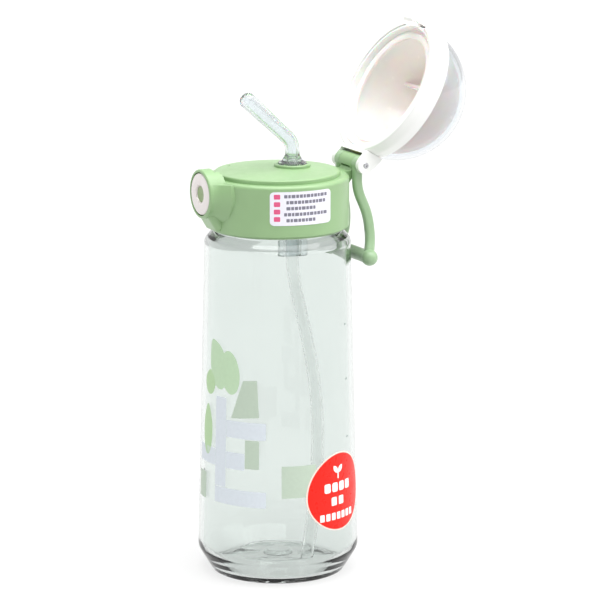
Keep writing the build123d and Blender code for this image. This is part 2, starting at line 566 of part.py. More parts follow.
def make_dome_rim():
    ledge_z = RIM_Z + 5.2
    inner_r = SHELL_R - 1.2
    outline = [
        (inner_r, RIM_Z), (RIM_R, RIM_Z, 0.9), (RIM_R + RIM_BULGE, RIM_Z + 4.6, 5.0),
        (SHELL_R + 1.1, RIM_TOP_Z, 0.7), (SHELL_R + 0.05, RIM_TOP_Z), (SHELL_R + 0.05, ledge_z),
        (inner_r, ledge_z),
    ]
    rim = turned(outline)
    ear = [(COLLAR_R - 0.4, RIM_Z + 0.1, 0), (PIN_Y - 0.5, PIN_Z - KNUCKLE_R, 1.0), (PIN_Y + 3.0, PIN_Z - 1.0, 0),
           (PIN_Y + 2.4, PIN_Z + 3.2, 1.0), (SHELL_R + 1.0, RIM_TOP_Z - 0.8, 0), (COLLAR_R - 0.4, RIM_TOP_Z - 0.8, 0)]
    web = prism(ear, -KNUCKLE_OUTER_X, KNUCKLE_OUTER_X)
    web -= rod_x(KNUCKLE_R + 0.6, -KNUCKLE_INNER_X, KNUCKLE_INNER_X, PIN_Y, PIN_Z)
    web -= box(-KNUCKLE_INNER_X, KNUCKLE_INNER_X, RIM_R + 0.05, PIN_Y, RIM_Z - 5, PIN_Z + 1.0)
    web -= box(-KNUCKLE_INNER_X, KNUCKLE_INNER_X, PIN_Y - 0.5, PIN_Y + 10, RIM_Z - 5, RIM_TOP_Z + 5)
    web -= Pos(0, 0, RIM_Z) * Cylinder(inner_r + 0.4, 60)
    rim += web
    for side in (-1, 1):
        ends = sorted((side * KNUCKLE_INNER_X, side * KNUCKLE_OUTER_X))
        rim += rod_x(KNUCKLE_R, *ends, PIN_Y, PIN_Z)
    rim -= rod_x(PIN_R + PIN_PRESS, -20, 20, PIN_Y, PIN_Z)
    rim -= boss_arch()
    shell_seat = Pos(0, 0, ledge_z) * Cylinder(SHELL_R + 0.05, 20, align=(Align.CENTER, Align.CENTER, Align.MIN))
    rim -= shell_seat
    hook = prism([(HOOK_OUTER_Y, RIM_Z + 8.5, 0), (HOOK_OUTER_Y, HOOK_BOTTOM_Z, 0.5), (HOOK_INNER_Y, HOOK_BOTTOM_Z, 0),
                  (HOOK_INNER_Y + HOOK_BARB, HOOK_BOTTOM_Z + HOOK_BARB_H - 0.4, 0),
                  (HOOK_INNER_Y + HOOK_BARB, HOOK_BOTTOM_Z + HOOK_BARB_H, 0),
                  (HOOK_INNER_Y, HOOK_BOTTOM_Z + HOOK_BARB_H, 0), (HOOK_INNER_Y, RIM_Z + 8.5, 0)],
                 -HOOK_WIDTH / 2, HOOK_WIDTH / 2)
    return opened(rim + (hook - shell_seat))


def make_dome_shell():
    inner = SHELL_R - SHELL_WALL
    skirt_z = RIM_Z + 5.25
    shell = Pos(0, 0, DOME_CENTRE_Z) * (Sphere(SHELL_R) - Sphere(inner))
    shell &= box(-50, 50, -50, 50, DOME_CENTRE_Z, DOME_CENTRE_Z + 50)
    skirt = turned([(inner, skirt_z), (SHELL_R, skirt_z), (SHELL_R, DOME_CENTRE_Z), (inner, DOME_CENTRE_Z)])
    return opened(shell + skirt)


def make_dome_liner():
    """White bowl with a grooved lip; a rib across its ceiling presses on the folded mouthpiece."""
    flange_r = SHELL_R - 1.2 - FIT_GAP
    lip_z = DISC_EDGE_Z + 0.75
    top_z = RIM_Z + 4.9
    inner = LINER_R - LINER_WALL
    foot_z = lip_z + 2.3
    foot_angle = asin((foot_z - DOME_CENTRE_Z) / inner)
    seat_angle = asin((top_z - DOME_CENTRE_Z) / LINER_R)
    foot_r, seat_r = inner * cos(foot_angle), LINER_R * cos(seat_angle)
    lip = rounded([
        (foot_r, foot_z), (LIP_R + 0.9, foot_z, 0.4), (LIP_R, lip_z + 0.5, 0.3), (LIP_R + 1.4, lip_z, 0.4),
        (LIP_R + 2.9, lip_z, 0.4), (LIP_R + 3.1, lip_z + 1.0, 0.2), (flange_r - 1.9, lip_z + 1.0, 0.2),
        (flange_r - 1.7, RIM_Z + 0.5, 0.4), (flange_r, RIM_Z + 0.5, 0.4), (flange_r, top_z), (seat_r, top_z),
    ], close=False)
    outside = arc_from(LINER_R, DOME_CENTRE_Z, seat_angle, pi / 2)
    crown = Line((0, 0, DOME_CENTRE_Z + LINER_R), (0, 0, DOME_CENTRE_Z + inner))
    inside = arc_from(inner, DOME_CENTRE_Z, pi / 2, foot_angle)
    bowl = revolve(make_face(Wire([*lip, outside, crown, inside])), Axis.Z)
    rib = box(-21, 21, -8.2, -6.8, DOME_CENTRE_Z + 14.5, DOME_CENTRE_Z + 40)
    rib &= Pos(0, 0, DOME_CENTRE_Z) * Sphere(inner + 0.6)
    return opened(bowl + rib - boss_arch())


# ---------------------------------------------------------------- hinge pieces
def make_hinge_pin():
    half = KNUCKLE_OUTER_X + 0.25
    pin = turned([(0, -half), (PIN_R, -half, 0.35), (PIN_R, half, 0.35), (0, half)])
    for end in (-half, half):
        pin -= Pos(0, 0, end) * Cylinder(0.6, 0.7)
    pin -= Pos(0, 0, 2.9) * Rot(90, 0, 0) * Cylinder(0.42, 6)
    return Pos(0, PIN_Y, PIN_Z) * Rot(0, 90, 0) * pin


def make_hinge_bush():
    start, stop = BARREL_HALF - 1.3, BARREL_HALF - 0.05
    bush = rod_x(BARREL_CAVITY_R - 0.03, start, stop, PIN_Y, PIN_Z)
    return bush - rod_x(PIN_R + PIN_RUNNING, -20, 20, PIN_Y, PIN_Z)


def make_hinge_spring():
    """Torsion spring round the pin; one leg lies in the barrel's slot."""
    start = -BARREL_HALF + 2.0
    length = 2 * BARREL_HALF - 4.4
    body = Pos(start, PIN_Y, PIN_Z) * Rot(0, 90, 0) * coil(SPRING_R, SPRING_WIRE_R, length, 6)
    return body


# ---------------------------------------------------------------- carry handle
def make_carry_handle():
    eye_x = (EYE_INNER_X + EYE_OUTER_X) / 2
    ball_z = PIN_Z - HANDLE_DROP
    bow = 2.6
    route = [(eye_x, PIN_Y - 1.9, PIN_Z - 1.5), (eye_x, PIN_Y - 2.0, PIN_Z - 11.5),
             (eye_x + 2.6, PIN_Y + bow - 0.3, PIN_Z - 23.5), (eye_x + 4.2, PIN_Y + bow + 0.3, PIN_Z - 34.5),
             (HANDLE_BALL_X - 1.2, HANDLE_BALL_Y + 0.2, ball_z + 0.4)]
    radii = []
    for a, b, c in zip(route[:-2], route[1:-1], route[2:]):
        first, second = Vector(b) - Vector(a), Vector(c) - Vector(b)
        turn = radians(first.get_angle(second))
        radii.append(0.45 * min(first.length, second.length) / tan(turn / 2))
    path = FilletPolyline(*route, radius=radii)
    plane = Plane(origin=path @ 0, x_dir=(1, 0, 0), z_dir=path % 0)
    arm = sweep(plane * RectangleRounded(HANDLE_ARM_WIDTH, HANDLE_ARM_DEPTH, HANDLE_ARM_CORNER), path=path)
    arm += rod_x(KNUCKLE_R, EYE_INNER_X, EYE_OUTER_X, PIN_Y, PIN_Z)
    arm += Pos(HANDLE_BALL_X, HANDLE_BALL_Y, ball_z) * Sphere(HANDLE_BALL_R)
    handle = arm + mirror(arm, about=Plane.YZ)
    handle += rod_x(HANDLE_BAR_R, -HANDLE_BALL_X, HANDLE_BALL_X, HANDLE_BALL_Y, ball_z)
    return handle - rod_x(PIN_R + PIN_RUNNING, -20, 20, PIN_Y, PIN_Z)


NODES = {
    "bottle_body": make_bottle_body,
    "bottle_label": make_bottle_label,
    "neck_seal": make_neck_seal,
    "lid_insert": make_lid_insert,
    "lid_collar": make_lid_collar,
    "collar_label": make_collar_label,
    "vent_valve": make_vent_valve,
    "straw_connector": make_straw_connector,
    "straw_tube": make_straw_tube,
    "mouthpiece_foot": make_mouthpiece_foot,
    "mouthpiece_knee": make_mouthpiece_knee,
    "mouthpiece_tip": make_mouthpiece_tip,
    "button_cap": make_button_cap,
    "button_insert": make_button_insert,
    "latch_slide": make_latch_slide,
    "button_spring": make_button_spring,
    "dome_rim": make_dome_rim,
    "dome_shell": make_dome_shell,
    "dome_liner": make_dome_liner,
    "hinge_pin": make_hinge_pin,
    "hinge_bush": make_hinge_bush,
    "hinge_spring": make_hinge_spring,
    "carry_handle": make_carry_handle,
}

os.makedirs("parts", exist_ok=True)
for name, make in NODES.items():
    shape = make()
    shape.label = name
    export_step(shape, f"parts/{name}.step")
    print(name, round(shape.volume, 1), len(shape.solids()))
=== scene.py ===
import math

import bmesh
import bpy
from mathutils import Matrix, Vector


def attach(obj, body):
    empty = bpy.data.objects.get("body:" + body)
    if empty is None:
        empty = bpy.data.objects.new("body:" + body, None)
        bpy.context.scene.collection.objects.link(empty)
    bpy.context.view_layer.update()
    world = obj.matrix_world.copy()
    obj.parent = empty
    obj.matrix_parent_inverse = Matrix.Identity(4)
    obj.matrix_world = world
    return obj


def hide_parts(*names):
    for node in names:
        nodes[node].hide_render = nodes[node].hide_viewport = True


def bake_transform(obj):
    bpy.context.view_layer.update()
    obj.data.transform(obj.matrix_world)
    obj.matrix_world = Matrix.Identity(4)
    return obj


# A child's straw bottle. Lengths below are in millimetres unless a name says otherwise,
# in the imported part's own frame: +Z up, origin at the centre of the base, button at -Y.

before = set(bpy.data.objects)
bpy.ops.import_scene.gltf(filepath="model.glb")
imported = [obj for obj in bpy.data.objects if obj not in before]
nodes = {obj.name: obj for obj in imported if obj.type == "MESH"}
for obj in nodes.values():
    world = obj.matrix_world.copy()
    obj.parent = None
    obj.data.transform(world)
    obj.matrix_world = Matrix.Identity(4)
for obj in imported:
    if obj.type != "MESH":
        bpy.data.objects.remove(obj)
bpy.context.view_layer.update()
MM = 0.001

# sizes that the clear pieces share with the part
PIN_Y, PIN_Z = 39.0, 189.5
DOME_OPEN = 120.0
BODY_MAX_R, BODY_MAX_Z = 37.5, 10.8
BODY_TOP_R, BODY_TOP_Z = 33.8, 157.0
BODY_WALL = 2.2
FOOT_OUTER_R, FOOT_INNER_R = 31.0, 27.0
FLOOR_RISE, FLOOR_WALL = 4.2, 2.4
GATE_NUB_R, GATE_NUB_H = 5.2, 1.6
NECK_R, NECK_WALL = 27.85, 2.25
NECK_FOOT_Z, MOUTH_Z = 161.6, 177.6
THREAD_START_Z, PITCH, THREAD_TURNS = 166.5, 4.0, 1.25
THREAD_DEPTH, THREAD_ROOT_WIDTH, THREAD_CREST_WIDTH = 1.45, 1.9, 0.9
COLLAR_R = 33.0
RIM_R, RIM_Z = 34.2, 186.8
RIM_BULGE, RIM_BULGE_RISE = 1.0, 4.6
SHELL_R, SHELL_WALL = 32.75, 1.8
DOME_CENTRE_Z, SKIRT_Z = 193.5, 192.05
INSERT_PLATE_Z = 179.8
SEAT_TOP_Z = 191.10
SPOUT_Y, KNEE_Z, KNEE_RADIUS = 7.7, 201.0, 9.0
SPOUT_LEAN, SPOUT_LENGTH = math.radians(47.7), 34.0
SPOUT_FLANGE_R, SPOUT_NECK_R, SPOUT_BEAD_R = 6.5, 4.4, 5.6
SPOUT_STUB_R, SPOUT_TIP_R = 3.3, 3.75
SPOUT_BORE_R, SPOUT_SOCKET_R, SPOUT_SLIT_R = 2.0, 2.95, 0.5


# ------------------------------------------------------------------ node materials
class Look:
    """A Principled material with helpers for the noise that drives its colour, bump and roughness."""

    def __init__(self, name, color, roughness, **sockets):
        self.material = bpy.data.materials.new(name)
        self.material.use_nodes = True
        self.tree = self.material.node_tree
        self.shader = self.tree.nodes["Principled BSDF"]
        self.shader.inputs["Base Color"].default_value = (*color, 1)
        self.shader.inputs["Roughness"].default_value = roughness
        for key, value in sockets.items():
            self.shader.inputs[key.replace("_", " ")].default_value = value
        self.where = self.tree.nodes.new("ShaderNodeTexCoord")
        self.color = color
        self.bump = None

    def noise(self, scale, detail=3.0, roughness=0.55, stretch=None):
        source = self.where.outputs["Object"]
        if stretch:
            mapping = self.tree.nodes.new("ShaderNodeMapping")
            mapping.inputs["Scale"].default_value = stretch
            self.tree.links.new(source, mapping.inputs["Vector"])
            source = mapping.outputs["Vector"]
        node = self.tree.nodes.new("ShaderNodeTexNoise")
        node.inputs["Scale"].default_value = scale
        node.inputs["Detail"].default_value = detail
        node.inputs["Roughness"].default_value = roughness
        self.tree.links.new(source, node.inputs["Vector"])
        return node.outputs["Fac"]

    def ranged(self, fac, low, high, at=(0.3, 0.7)):
        node = self.tree.nodes.new("ShaderNodeMapRange")
        node.inputs["From Min"].default_value = at[0]
        node.inputs["From Max"].default_value = at[1]
        node.inputs["To Min"].default_value = low
        node.inputs["To Max"].default_value = high
        self.tree.links.new(fac, node.inputs["Value"])
        return node.outputs["Result"]

    def tinted(self, fac, other, at=(0.35, 0.65)):
        """Base colour that drifts towards another colour with fac."""
        ramp = self.tree.nodes.new("ShaderNodeValToRGB")
        ramp.color_ramp.elements[0].position = at[0]
        ramp.color_ramp.elements[1].position = at[1]
        ramp.color_ramp.elements[0].color = (*self.color, 1)
        ramp.color_ramp.elements[1].color = (*other, 1)
        self.tree.links.new(fac, ramp.inputs["Fac"])
        self.tree.links.new(ramp.outputs["Color"], self.shader.inputs["Base Color"])
        return self

    def rough(self, fac, low, high):
        self.tree.links.new(self.ranged(fac, low, high), self.shader.inputs["Roughness"])
        return self

    def bumped(self, fac, strength, distance_mm):
        node = self.tree.nodes.new("ShaderNodeBump")
        node.inputs["Strength"].default_value = strength
        node.inputs["Distance"].default_value = distance_mm * MM
        self.tree.links.new(fac, node.inputs["Height"])
        if self.bump:
            self.tree.links.new(self.bump, node.inputs["Normal"])
        self.bump = node.outputs["Normal"]
        self.tree.links.new(self.bump, self.shader.inputs["Normal"])
        return self


def srgb(r, g, b):
    """Linear colour from 0-255 sRGB values."""
    shares = [c / 255 for c in (r, g, b)]
    return tuple(c / 12.92 if c <= 0.04 else ((c + 0.055) / 1.055) ** 2.4 for c in shares)


def shaded(color, factor):
    return tuple(min(1.0, c * factor) for c in color)


def moulded(name, color, roughness, grain_mm=0.35, grain=0.10, coat=0.0, coat_rough=0.12, drift=0.94,
            **more):
    """Moulded plastic: fine spark-eroded grain, slow flow variation, uneven gloss."""
    look = Look(name, color, roughness, **more)
    look.tinted(look.noise(55, 2.0), shaded(color, drift))
    look.rough(look.noise(240, 3.0), roughness * 0.86, roughness * 1.16)
    look.bumped(look.noise(1000 / grain_mm, 2.0), grain, 0.03)
    look.bumped(look.noise(90, 1.0), 0.10, 0.05)
    if coat:
        look.shader.inputs["Coat Weight"].default_value = coat
        look.shader.inputs["Coat Roughness"].default_value = coat_rough
    return look.material


def clear(name, color, roughness, ior, weight=1.0, wave=0.05, streak=None):
    """See-through moulding: faint tint, slow surface waviness and uneven polish."""
    look = Look(name, color, roughness, IOR=ior, Transmission_Weight=weight)
    look.tinted(look.noise(26, 2.0), shaded(color, 0.985))
    look.rough(look.noise(120, 3.0, stretch=streak), roughness * 0.7, roughness * 1.5)
    look.bumped(look.noise(34, 1.0, stretch=streak), wave, 0.25)
    return look.material


GREEN = srgb(146, 181, 130)
collar_green = moulded("collar_green", GREEN, 0.40, 0.30, 0.10, coat=0.35, coat_rough=0.30)
handle_green = moulded("handle_green", srgb(156, 187, 146), 0.38, 0.30, 0.10, coat=0.4, coat_rough=0.30)
dome_white = moulded("dome_white", srgb(248, 248, 246), 0.16, 0.8, 0.02, coat=0.35, drift=0.985)
liner_white = moulded("liner_white", srgb(253, 245, 243), 0.24, 0.5, 0.05, coat=0.2, drift=0.985,
                      Subsurface_Weight=0.5, Subsurface_Scale=0.006)
button_white = moulded("button_white", srgb(234, 226, 224), 0.20, 0.8, 0.03, coat=0.3, drift=0.98)
button_green = moulded("button_green", srgb(150, 172, 124), 0.42, 0.3, 0.12)
insert_white = moulded("insert_white", srgb(236, 238, 232), 0.32, 0.4, 0.08, drift=0.97)
seal_white = moulded("silicone_seal", srgb(238, 240, 238), 0.55, 0.25, 0.16, drift=0.97,
                     Subsurface_Weight=0.2, Subsurface_Scale=0.003)
clear_bottle = clear("clear_bottle", (0.835, 0.872, 0.855), 0.022, 1.42, 1.0, 0.035)
dome_clear = clear("dome_clear", (0.90, 0.925, 0.945), 0.018, 1.50, 1.0, 0.03)
silicone_clear = clear("silicone_clear", (0.92, 0.955, 0.972), 0.14, 1.40, 0.92, 0.12)
straw_clear = clear("straw_clear", (0.99, 0.995, 0.992), 0.07, 1.34, 0.97, 0.06, streak=(1, 1, 0.08))


def brushed_steel():
    look = Look("steel", srgb(196, 197, 200), 0.24, Metallic=1.0)
    look.tinted(look.noise(160, 3.0), shaded(look.color, 0.88))
    look.rough(look.noise(500, 2.0, stretch=(0.1, 1, 1)), 0.16, 0.36)
    look.bumped(look.noise(2600, 2.0, stretch=(0.05, 1, 1)), 0.12, 0.01)
    return look.material


def film(name, color, roughness=0.34, **more):
    """Printed film or ink: coated paper tooth and slight ink mottling."""
    look = Look(name, color, roughness, Specular_IOR_Level=0.25, **more)
    look.tinted(look.noise(700, 3.0), shaded(color, 0.965))
    look.rough(look.noise(300, 2.0), roughness * 0.8, roughness * 1.25)
    look.bumped(look.noise(3200, 2.0), 0.06, 0.01)
    return look.material


steel = brushed_steel()
# Gold-brown colour that paints the shade and warm reflection inside the hinge recess.
painted_recess_shade = film("painted_recess_shade", srgb(172, 160, 108), 0.32)
label_white = film("label_white", srgb(240, 238, 248))
label_red = film("label_red", srgb(250, 32, 18), 0.30)
label_edge = film("label_edge", srgb(250, 226, 214), 0.35)
mark_white = film("mark_white", srgb(255, 250, 248), 0.35)
mark_grey = film("mark_grey", srgb(128, 126, 140), 0.45)
mark_pink = film("mark_pink", srgb(226, 96, 138), 0.45)
ink_leaf = film("ink_leaf", srgb(192, 218, 184), 0.42)
ink_leaf_deep = film("ink_leaf_deep", srgb(182, 212, 166), 0.42)
ink_block = film("ink_block", srgb(190, 205, 188), 0.42)
ink_lavender = film("ink_lavender", srgb(218, 225, 232), 0.42)
ink_tick = film("ink_tick", srgb(160, 172, 168), 0.5)

NODE_LOOKS = {
    "lid_collar": collar_green, "carry_handle": handle_green, "dome_rim": dome_white,
    "dome_liner": liner_white, "button_cap": button_white, "button_insert": button_green,
    "lid_insert": collar_green, "latch_slide": insert_white, "straw_connector": silicone_clear,
    "hinge_bush": insert_white, "neck_seal": seal_white, "vent_valve": seal_white,
    "hinge_pin": steel, "hinge_spring": steel, "button_spring": steel,
    "straw_tube": straw_clear,
}
for name, material in NODE_LOOKS.items():
    mesh = nodes[name].data
    mesh.materials.clear()
    mesh.materials.append(material)


# ------------------------------------------------------------------ mesh builders
def finished(name, bm, material, body, sharp=32.0):
    """Links a bmesh as a smooth-shaded piece that rides on a body."""
    bmesh.ops.remove_doubles(bm, verts=bm.verts, dist=1e-7)
    bmesh.ops.recalc_face_normals(bm, faces=bm.faces)
    mesh = bpy.data.meshes.new(name)
    bm.to_mesh(mesh)
    bm.free()
    mesh.polygons.foreach_set("use_smooth", [True] * len(mesh.polygons))
    mesh.set_sharp_from_angle(angle=math.radians(sharp))
    mesh.materials.append(material)
    obj = bpy.data.objects.new(name, mesh)
    bpy.context.scene.collection.objects.link(obj)
    if body:
        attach(obj, body)
    return obj


def rounded(points, step=7.0):
    """(r, z) points along (r, z) or (r, z, corner radius) corners, arcs cut every step degrees."""
    made = []
    for i, corner in enumerate(points):
        here = Vector(corner[:2])
        radius = corner[2] if len(corner) > 2 else 0
        if radius == 0:
            made.append(here)
            continue
        before = (Vector(points[i - 1][:2]) - here).normalized()
        after = (Vector(points[i + 1][:2]) - here).normalized()
        half = before.angle(after) / 2
        centre = here + (before + after).normalized() * (radius / math.sin(half))
        first = here + before * (radius / math.tan(half)) - centre
        last = here + after * (radius / math.tan(half)) - centre
        turn = first.angle_signed(last)
        count = max(2, math.ceil(abs(math.degrees(turn)) / step))
        for k in range(count + 1):
            made.append(centre + Matrix.Rotation(-turn * k / count, 2) @ first)
    return [(p.x, p.y) for p in made]


def divided(path, every):
    """The same path with its long straight runs cut into shorter ones."""
    made = [path[0]]
    for a, b in zip(path[:-1], path[1:]):
        count = max(1, math.ceil(math.dist(a, b) / every))
        for k in range(1, count + 1):
            made.append((a[0] + (b[0] - a[0]) * k / count, a[1] + (b[1] - a[1]) * k / count))
    return made


def lathe(path, segments, place=None, shape=None):
    """bmesh turned about Z from (r, z) points in mm; shape(angle, r, z) may move a point."""
    bm = bmesh.new()
    rings = []
    for r, z in path:
        if r < 1e-6:
            rings.append([bm.verts.new((0, 0, z * MM))])
            continue
        ring = []
        for k in range(segments):
            angle = 2 * math.pi * k / segments
            rr, zz = shape(angle, r, z) if shape else (r, z)
            ring.append(bm.verts.new((rr * math.cos(angle) * MM, rr * math.sin(angle) * MM, zz * MM)))
        rings.append(ring)
    if path[0] == path[-1]:
        for vert in rings.pop():
            bm.verts.remove(vert)
        rings.append(rings[0])
    for a, b in zip(rings[:-1], rings[1:]):
        for k in range(segments):
            n = (k + 1) % segments
            face = [a[k % len(a)], a[n % len(a)], b[n % len(b)], b[k % len(b)]]
            face = list(dict.fromkeys(face))
            if len(face) > 2:
                bm.faces.new(face)
    if place:
        bmesh.ops.transform(bm, matrix=place, verts=bm.verts)
    return bm


PIN = Vector((0, PIN_Y * MM, PIN_Z * MM))
TURN = Matrix.Rotation(math.radians(-DOME_OPEN), 4, "X")
OPENED = Matrix.Translation(PIN) @ TURN @ Matrix.Translation(-PIN)


def wall_r(z):
    """Outer radius of the bottle's tapering wall."""
    share = (z - BODY_MAX_Z) / (BODY_TOP_Z - BODY_MAX_Z)
    return BODY_MAX_R + share * (BODY_TOP_R - BODY_MAX_R)


def on_wall(azimuth, z, lift):
    """Point on the bottle wall; azimuth 0 faces -Y and 90 faces +X, in degrees."""
    a, r = math.radians(azimuth), wall_r(z) + lift
    return Vector((r * math.sin(a), -r * math.cos(a), z)) * MM


def on_wall_flat(azimuth, radius_at):
    """Mapper from a flat (x, z) drawing seen square on at azimuth to a round wall."""
    def place(x, z, lift):
        r = radius_at(z) + lift
        a = math.radians(azimuth) + math.asin(max(-1.0, min(1.0, x / r)))
        return Vector((r * math.sin(a), -r * math.cos(a), z)) * MM
    return place


def wrapped(outlines, place, lift, thickness, every):
    """bmesh of thin films from flat outlines, cut into strips and wrapped by place(x, z, lift)."""
    bm = bmesh.new()
    for outline in outlines:
        flat = bmesh.new()
        flat.faces.new([flat.verts.new((x, z, 0)) for x, z in outline])
        bmesh.ops.triangulate(flat, faces=flat.faces)
        low, high = min(p[0] for p in outline), max(p[0] for p in outline)
        cuts = max(1, math.ceil((high - low) / every))
        for k in range(1, cuts):
            x = low + (high - low) * k / cuts
            everything = flat.verts[:] + flat.edges[:] + flat.faces[:]
            bmesh.ops.bisect_plane(flat, geom=everything, plane_co=(x, 0, 0), plane_no=(1, 0, 0))
        bmesh.ops.remove_doubles(flat, verts=flat.verts, dist=1e-5)
        top = {v: bm.verts.new(place(v.co.x, v.co.y, lift + thickness)) for v in flat.verts}
        bottom = {v: bm.verts.new(place(v.co.x, v.co.y, lift)) for v in flat.verts}
        for face in flat.faces:
            bm.faces.new([top[v] for v in face.verts])
            bm.faces.new([bottom[v] for v in reversed(face.verts)])
        for edge in flat.edges:
            if len(edge.link_faces) == 1:
                a, b = edge.verts
                bm.faces.new([top[a], bottom[a], bottom[b], top[b]])
        flat.free()
    return bm


def oval(x, z, half_w, half_h, count=40, lean=0.0, sharp_top=0.0):
    """Outline of an ellipse; sharp_top pulls it to a leaf tip, lean tilts it in degrees."""
    made = []
    for k in range(count):
        a = 2 * math.pi * k / count
        px, pz = half_w * math.sin(a), half_h * math.cos(a)
        px *= 1 - sharp_top * max(0.0, math.cos(a)) ** 2
        c, s = math.cos(math.radians(lean)), math.sin(math.radians(lean))
        made.append((x + px * c + pz * s, z - px * s + pz * c))
    return made


def block(x_from, x_to, z_from, z_to, radius=0.5):
    """Outline of a rectangle with rounded corners."""
    made = []
    left, right, low, high = x_from + radius, x_to - radius, z_from + radius, z_to - radius
    for cx, cz, start in ((right, high, 0), (left, high, 90), (left, low, 180), (right, low, 270)):
        for k in range(5):
            a = math.radians(start + 22.5 * k)
            made.append((cx + radius * math.cos(a), cz + radius * math.sin(a)))
    return made


# ------------------------------------------------------------------ clear bottle
def thread(angle, r, z):
    """Helical ridge on the neck, faded in and out at its ends."""
    if abs(r - NECK_R) > 0.02 or not NECK_FOOT_Z + 1 < z < MOUTH_Z - 1:
        return r, z
    lift = 0.0
    fade_turns = 0.03
    flank = (THREAD_ROOT_WIDTH - THREAD_CREST_WIDTH) / 2
    for turn in (angle, angle + 2 * math.pi):
        share = turn / (2 * math.pi)
        away = abs(z - (THREAD_START_Z + PITCH * share))
        fade = min(1.0, share / fade_turns, max(0.0, (THREAD_TURNS - share) / fade_turns))
        section = max(0.0, min(1.0, (THREAD_ROOT_WIDTH / 2 - away) / flank))
        lift = max(lift, THREAD_DEPTH * fade * section)
    return r + lift, z


FLUTES, FLUTE_DEPTH = 6, 0.35
FLUTES_FROM_R, FLUTES_WIDTH = 9, 15


def base_and_neck(angle, r, z):
    """The moulded floor rises and falls gently round the push-up, and the neck carries the thread."""
    if FLUTES_FROM_R < r < FLUTES_FROM_R + FLUTES_WIDTH and z < 10:
        swell = math.sin((r - FLUTES_FROM_R) / FLUTES_WIDTH * math.pi)
        return r, z + FLUTE_DEPTH * swell * math.cos(FLUTES * angle)
    return thread(angle, r, z)


FLOOR_Z = FLOOR_RISE + FLOOR_WALL
MOUTH_R = NECK_R - NECK_WALL
bottle_path = rounded([
    (0, FLOOR_RISE), (FOOT_INNER_R * 0.7, FLOOR_RISE, 8), (FOOT_INNER_R, 0, 0.8), (FOOT_OUTER_R, 0, 1.2),
    (BODY_MAX_R, BODY_MAX_Z, 7), (BODY_TOP_R, BODY_TOP_Z, 3.5), (BODY_TOP_R - 4.2, NECK_FOOT_Z, 1.2),
    (NECK_R, NECK_FOOT_Z, 0.8), (NECK_R, MOUTH_Z, 0.7), (MOUTH_R, MOUTH_Z, 0.7),
    (MOUTH_R, NECK_FOOT_Z - 1.6, 2.0), (BODY_TOP_R - BODY_WALL, BODY_TOP_Z - 1.2, 3.0),
    (BODY_MAX_R - BODY_WALL, BODY_MAX_Z + 1.0, 7), (FOOT_OUTER_R - 2.6, FLOOR_WALL, 2.0),
    (FOOT_INNER_R * 0.72, FLOOR_Z, 8), (GATE_NUB_R + 1.6, FLOOR_Z, 1.0),
    (GATE_NUB_R, FLOOR_Z + GATE_NUB_H, 1.2), (0, FLOOR_Z + GATE_NUB_H)])
THREAD_STEP, BASE_STEP, UNCUT = 0.25, 1.5, 400
fine_path = [bottle_path[0]]
for a, b in zip(bottle_path[:-1], bottle_path[1:]):
    on_neck = min(a[0], b[0]) > 27 and abs(a[0] - b[0]) < 0.01 and a[1] > NECK_FOOT_Z
    near_base = max(a[1], b[1]) < 12 and max(a[0], b[0]) < 32
    step = THREAD_STEP if on_neck else BASE_STEP if near_base else UNCUT
    fine_path += divided([a, b], step)[1:]
bottle = finished("bottle_clear", lathe(fine_path, 240, shape=base_and_neck), clear_bottle,
                  "bottle", 40)
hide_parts("bottle_body")

# ------------------------------------------------------------------ printed decoration on the wall
# Outlines are drawn as (degrees round the wall, height).
INK_LIFT, INK_THICKNESS, INK_STEP = 0.02, 0.04, 2.0
DECOR = {
    "print_sprout": (ink_leaf, [oval(12.0, 102.5, 9.0, 12.8, lean=-34, sharp_top=0.45),
                                oval(25.0, 99.5, 10.5, 8.4, lean=62)]),
    "print_leaflets": (ink_leaf_deep, [oval(2.5, 93.0, 7.0, 5.8, sharp_top=0.4),
                                       oval(0.0, 70.5, 6.6, 12.0, sharp_top=0.35)]),
    "print_green_blocks": (ink_block, [[(36.7, 96.6), (47.8, 97.2), (49.5, 79.9), (26.6, 78.4)],
                                       block(38.7, 49.6, 55.6, 69.0), block(66.0, 92.0, 42.3, 57.4),
                                       block(-14.0, -1.6, 37.0, 49.5)]),
    "print_bars": (ink_lavender, [block(11.0, 22.0, 45.4, 87.5), block(22.3, 54.7, 69.4, 77.4),
                                  block(-12.5, 10.7, 54.6, 62.5), block(22.3, 38.4, 54.6, 62.5),
                                  block(11.0, 54.8, 37.6, 45.1)]),
    "print_volume_ticks": (ink_tick, [block(124.4, 127.0, z - 0.45, z + 0.45, 0.3)
                                      for z in (119.7, 94.0, 66.8)]),
}
for name, (material, outlines) in DECOR.items():
    finished(name, wrapped(outlines, on_wall, INK_LIFT, INK_THICKNESS, INK_STEP), material, "bottle")

# ------------------------------------------------------------------ egg-shaped sticker
EGG_AZIMUTH, EGG_Z, EGG_HALF = 114.0, 42.5, 18.5


def egg(scale, count=96):
    lower = EGG_HALF * 0.92
    upper = 2 * EGG_HALF - lower
    middle = EGG_Z + lower - EGG_HALF
    made = []
    for k in range(count):
        a = 2 * math.pi * k / count
        reach = upper if math.cos(a) > 0 else lower
        made.append((EGG_HALF * scale * math.sin(a), middle + reach * scale * math.cos(a)))
    return made


